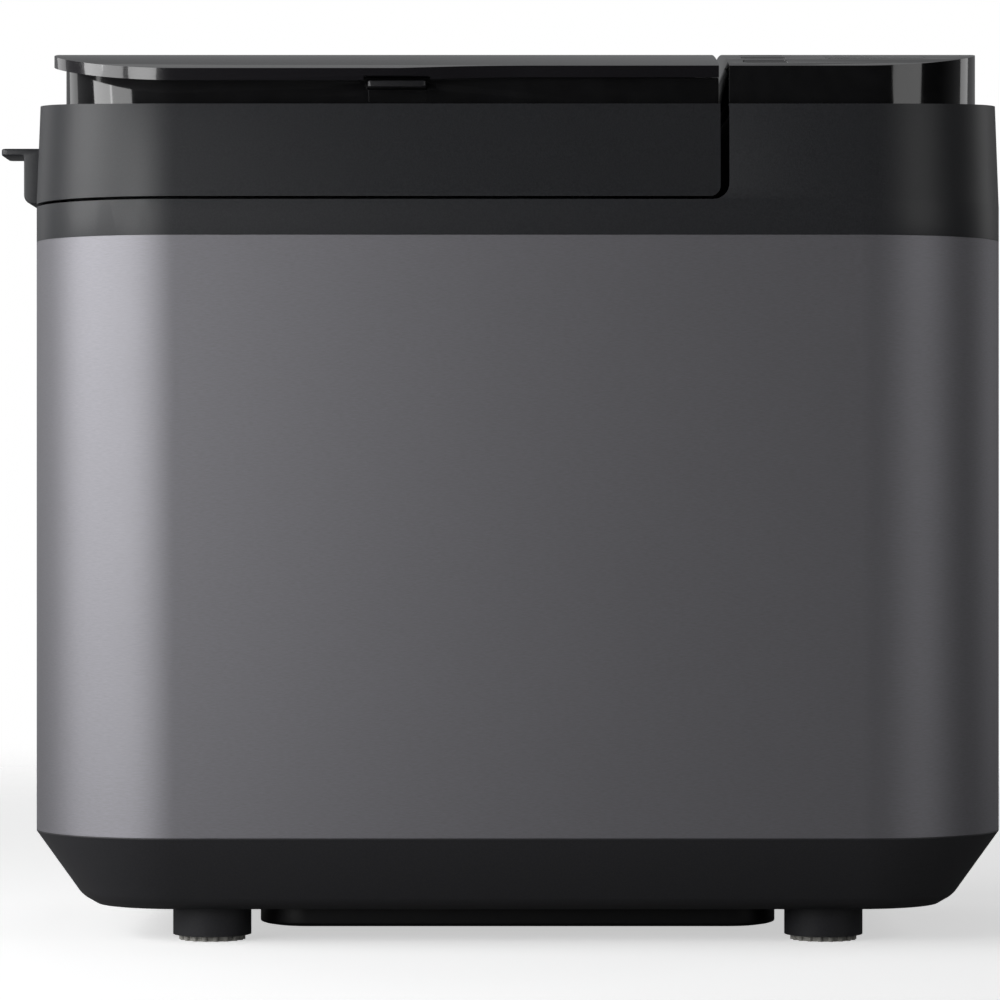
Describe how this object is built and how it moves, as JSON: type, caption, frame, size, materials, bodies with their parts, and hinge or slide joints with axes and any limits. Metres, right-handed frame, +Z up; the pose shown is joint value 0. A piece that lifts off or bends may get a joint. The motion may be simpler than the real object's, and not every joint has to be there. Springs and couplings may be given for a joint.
{
  "type": "bread machine",
  "caption": "Upright bread machine with a rear-hinged crowned lid, a covered ingredient dispenser, a side control panel and a lift-out bread pan with a kneading paddle.",
  "frame": {"origin": "on the floor, under the middle of the width with the lift tab and of the depth", "axes": "+Z up, +X along the front towards the control panel, -Y towards the user"},
  "size_m": [0.408, 0.236, 0.362],
  "materials": {
    "base_plastic": "fine spark-eroded texture, black",
    "belly_plastic": "fine texture, black",
    "foot_rubber": "pale grey moulded rubber",
    "zinc_sheet": "plain zinc-coated sheet steel",
    "brushed_wrap": "dark titanium-grey brushed stainless steel, grain along the width",
    "matte_cover": "fine spark-eroded texture, charcoal",
    "oven_sheet": "grey heat-resistant coating",
    "heater_tube": "dull oxidised tube",
    "polished_steel": "ground and polished steel",
    "die_cast": "die-cast, slightly rough",
    "pulley_nylon": "natural nylon",
    "belt_rubber": "black ribbed rubber",
    "motor_steel": "bright zinc-plated steel",
    "black_rubber": "black moulded rubber",
    "capacitor_shell": "dark blue moulded shell",
    "circuit_board": "green lacquered board",
    "nonstick": "charcoal non-stick coating with a fine fleck",
    "grip_plastic": "black heat-resistant plastic",
    "bronze_bush": "sintered bronze",
    "gloss_black": "high-gloss black",
    "liner_sheet": "plain satin aluminium sheet",
    "dispenser_plastic": "dark grey plastic",
    "gloss_cover": "high-gloss metallic dark grey",
    "catch_plastic": "satin grey",
    "window": "clear display window",
    "key_plastic": "satin black"
  },
  "bodies": {
    "case": {"base_shell": "base_plastic", "belly_pan": "belly_plastic", "foot_posts": "base_plastic", "foot_pads": "foot_rubber", "chassis_plate": "zinc_sheet", "body_wrap": "brushed_wrap", "top_frame": "matte_cover", "oven_tub": "oven_sheet", "tub_legs": "zinc_sheet", "heater": "heater_tube", "heater_brackets": "zinc_sheet", "heat_shield": "zinc_sheet", "pan_seat": "oven_sheet", "bearing_housing": "die_cast", "drive_belt": "belt_rubber", "motor": "motor_steel", "motor_feet": "black_rubber", "run_capacitor": "capacitor_shell", "power_board": "circuit_board", "cord_gland": "black_rubber", "control_panel": "gloss_black", "display_window": "window", "control_board": "circuit_board", "chassis_screws": "polished_steel"},
    "drive": {"drive_shaft": "polished_steel", "drive_pulley": "pulley_nylon", "drive_coupling": "die_cast"},
    "rotor": {"motor_shaft": "polished_steel", "motor_pulley": "motor_steel"},
    "sensor": {"temperature_sensor": "polished_steel"},
    "pan": {"bread_pan": "nonstick", "pan_bush": "bronze_bush"},
    "bail": {"pan_bail": "polished_steel", "bail_grip": "grip_plastic"},
    "paddle": {"pan_shaft": "polished_steel", "pan_coupling": "die_cast", "kneading_paddle": "nonstick"},
    "lid": {"lid_shell": "matte_cover", "lift_tab": "matte_cover", "lid_riser": "gloss_black", "lid_liner": "liner_sheet", "lid_seal": "black_rubber", "lid_hinge_pins": "polished_steel", "nut_box": "dispenser_plastic", "yeast_cup": "dispenser_plastic", "flap_pins": "polished_steel", "flap_solenoids": "motor_steel", "cover_hinge_pins": "polished_steel", "lid_screws": "polished_steel"},
    "nut_door": {"nut_flap": "liner_sheet"},
    "yeast_door": {"yeast_flap": "liner_sheet"},
    "cover": {"dispenser_cover": "gloss_cover"},
    "catch": {"cover_catch": "catch_plastic"},
    "start_button": {"start_key": "key_plastic"},
    "stop_button": {"stop_key": "key_plastic"},
    "menu_up_button": {"menu_up_key": "key_plastic"},
    "menu_down_button": {"menu_down_key": "key_plastic"},
    "size_button": {"size_key": "key_plastic"},
    "crust_button": {"crust_key": "key_plastic"},
    "timer_button": {"timer_key": "key_plastic"}
  },
  "joints": [
    {"name": "lid_hinge", "type": "hinge", "parent": "case", "child": "lid", "pos_m": [-0.0494, 0.108, 0.305], "axis": [-1, 0, 0], "range_deg": [0, 75]},
    {"name": "cover_hinge", "type": "hinge", "parent": "lid", "child": "cover", "pos_m": [-0.0494, 0.1092, 0.34218], "axis": [-1, 0, 0], "range_deg": [0, 90]},
    {"name": "catch_push", "type": "slide", "parent": "lid", "child": "catch", "axis": [0, 1, 0], "range_m": [0, 0.002], "stiffness_N_per_m": 400},
    {"name": "nut_flap_drop", "type": "hinge", "parent": "lid", "child": "nut_door", "pos_m": [-0.0954, 0.0385, 0.3052], "axis": [1, 0, 0], "range_deg": [0, 70], "stiffness_Nm_per_rad": 0.12, "springref_deg": -22.92},
    {"name": "yeast_flap_drop", "type": "hinge", "parent": "lid", "child": "yeast_door", "pos_m": [-0.0134, 0.0222, 0.3052], "axis": [1, 0, 0], "range_deg": [0, 70], "stiffness_Nm_per_rad": 0.02, "springref_deg": -22.92},
    {"name": "pan_lift", "type": "slide", "parent": "case", "child": "pan", "axis": [0, 0, 1], "range_m": [0, 0.06]},
    {"name": "bail_swing", "type": "hinge", "parent": "pan", "child": "bail", "pos_m": [-0.0494, 0, 0.2105], "axis": [-1, 0, 0], "range_deg": [0, 180]},
    {"name": "drive_spin", "type": "hinge", "parent": "case", "child": "drive", "pos_m": [-0.0494, 0, 0.06], "axis": [0, 0, 1], "continuous": true},
    {"name": "motor_spin", "type": "hinge", "parent": "case", "child": "rotor", "pos_m": [0.1426, 0, 0.04], "axis": [0, 0, 1], "continuous": true},
    {"name": "paddle_spin", "type": "hinge", "parent": "pan", "child": "paddle", "pos_m": [-0.0494, 0, 0.09], "axis": [0, 0, 1], "continuous": true},
    {"name": "sensor_press", "type": "slide", "parent": "case", "child": "sensor", "axis": [0, -1, 0], "range_m": [0, 0.003], "stiffness_N_per_m": 300},
    {"name": "start_press", "type": "slide", "parent": "case", "child": "start_button", "axis": [0, 0, -1], "range_m": [0, 0.0008], "stiffness_N_per_m": 1200},
    {"name": "stop_press", "type": "slide", "parent": "case", "child": "stop_button", "axis": [0, 0, -1], "range_m": [0, 0.0008], "stiffness_N_per_m": 1200},
    {"name": "menu_up_press", "type": "slide", "parent": "case", "child": "menu_up_button", "axis": [0, 0, -1], "range_m": [0, 0.0008], "stiffness_N_per_m": 1200},
    {"name": "menu_down_press", "type": "slide", "parent": "case", "child": "menu_down_button", "axis": [0, 0, -1], "range_m": [0, 0.0008], "stiffness_N_per_m": 1200},
    {"name": "size_press", "type": "slide", "parent": "case", "child": "size_button", "axis": [0, 0, -1], "range_m": [0, 0.0008], "stiffness_N_per_m": 1200},
    {"name": "crust_press", "type": "slide", "parent": "case", "child": "crust_button", "axis": [0, 0, -1], "range_m": [0, 0.0008], "stiffness_N_per_m": 1200},
    {"name": "timer_press", "type": "slide", "parent": "case", "child": "timer_button", "axis": [0, 0, -1], "range_m": [0, 0.0008], "stiffness_N_per_m": 1200}
  ],
  "couplings": [
    {"joint": "motor_spin", "follows": "drive_spin", "ratio": 4},
    {"joint": "paddle_spin", "follows": "drive_spin", "ratio": 1}
  ]
}
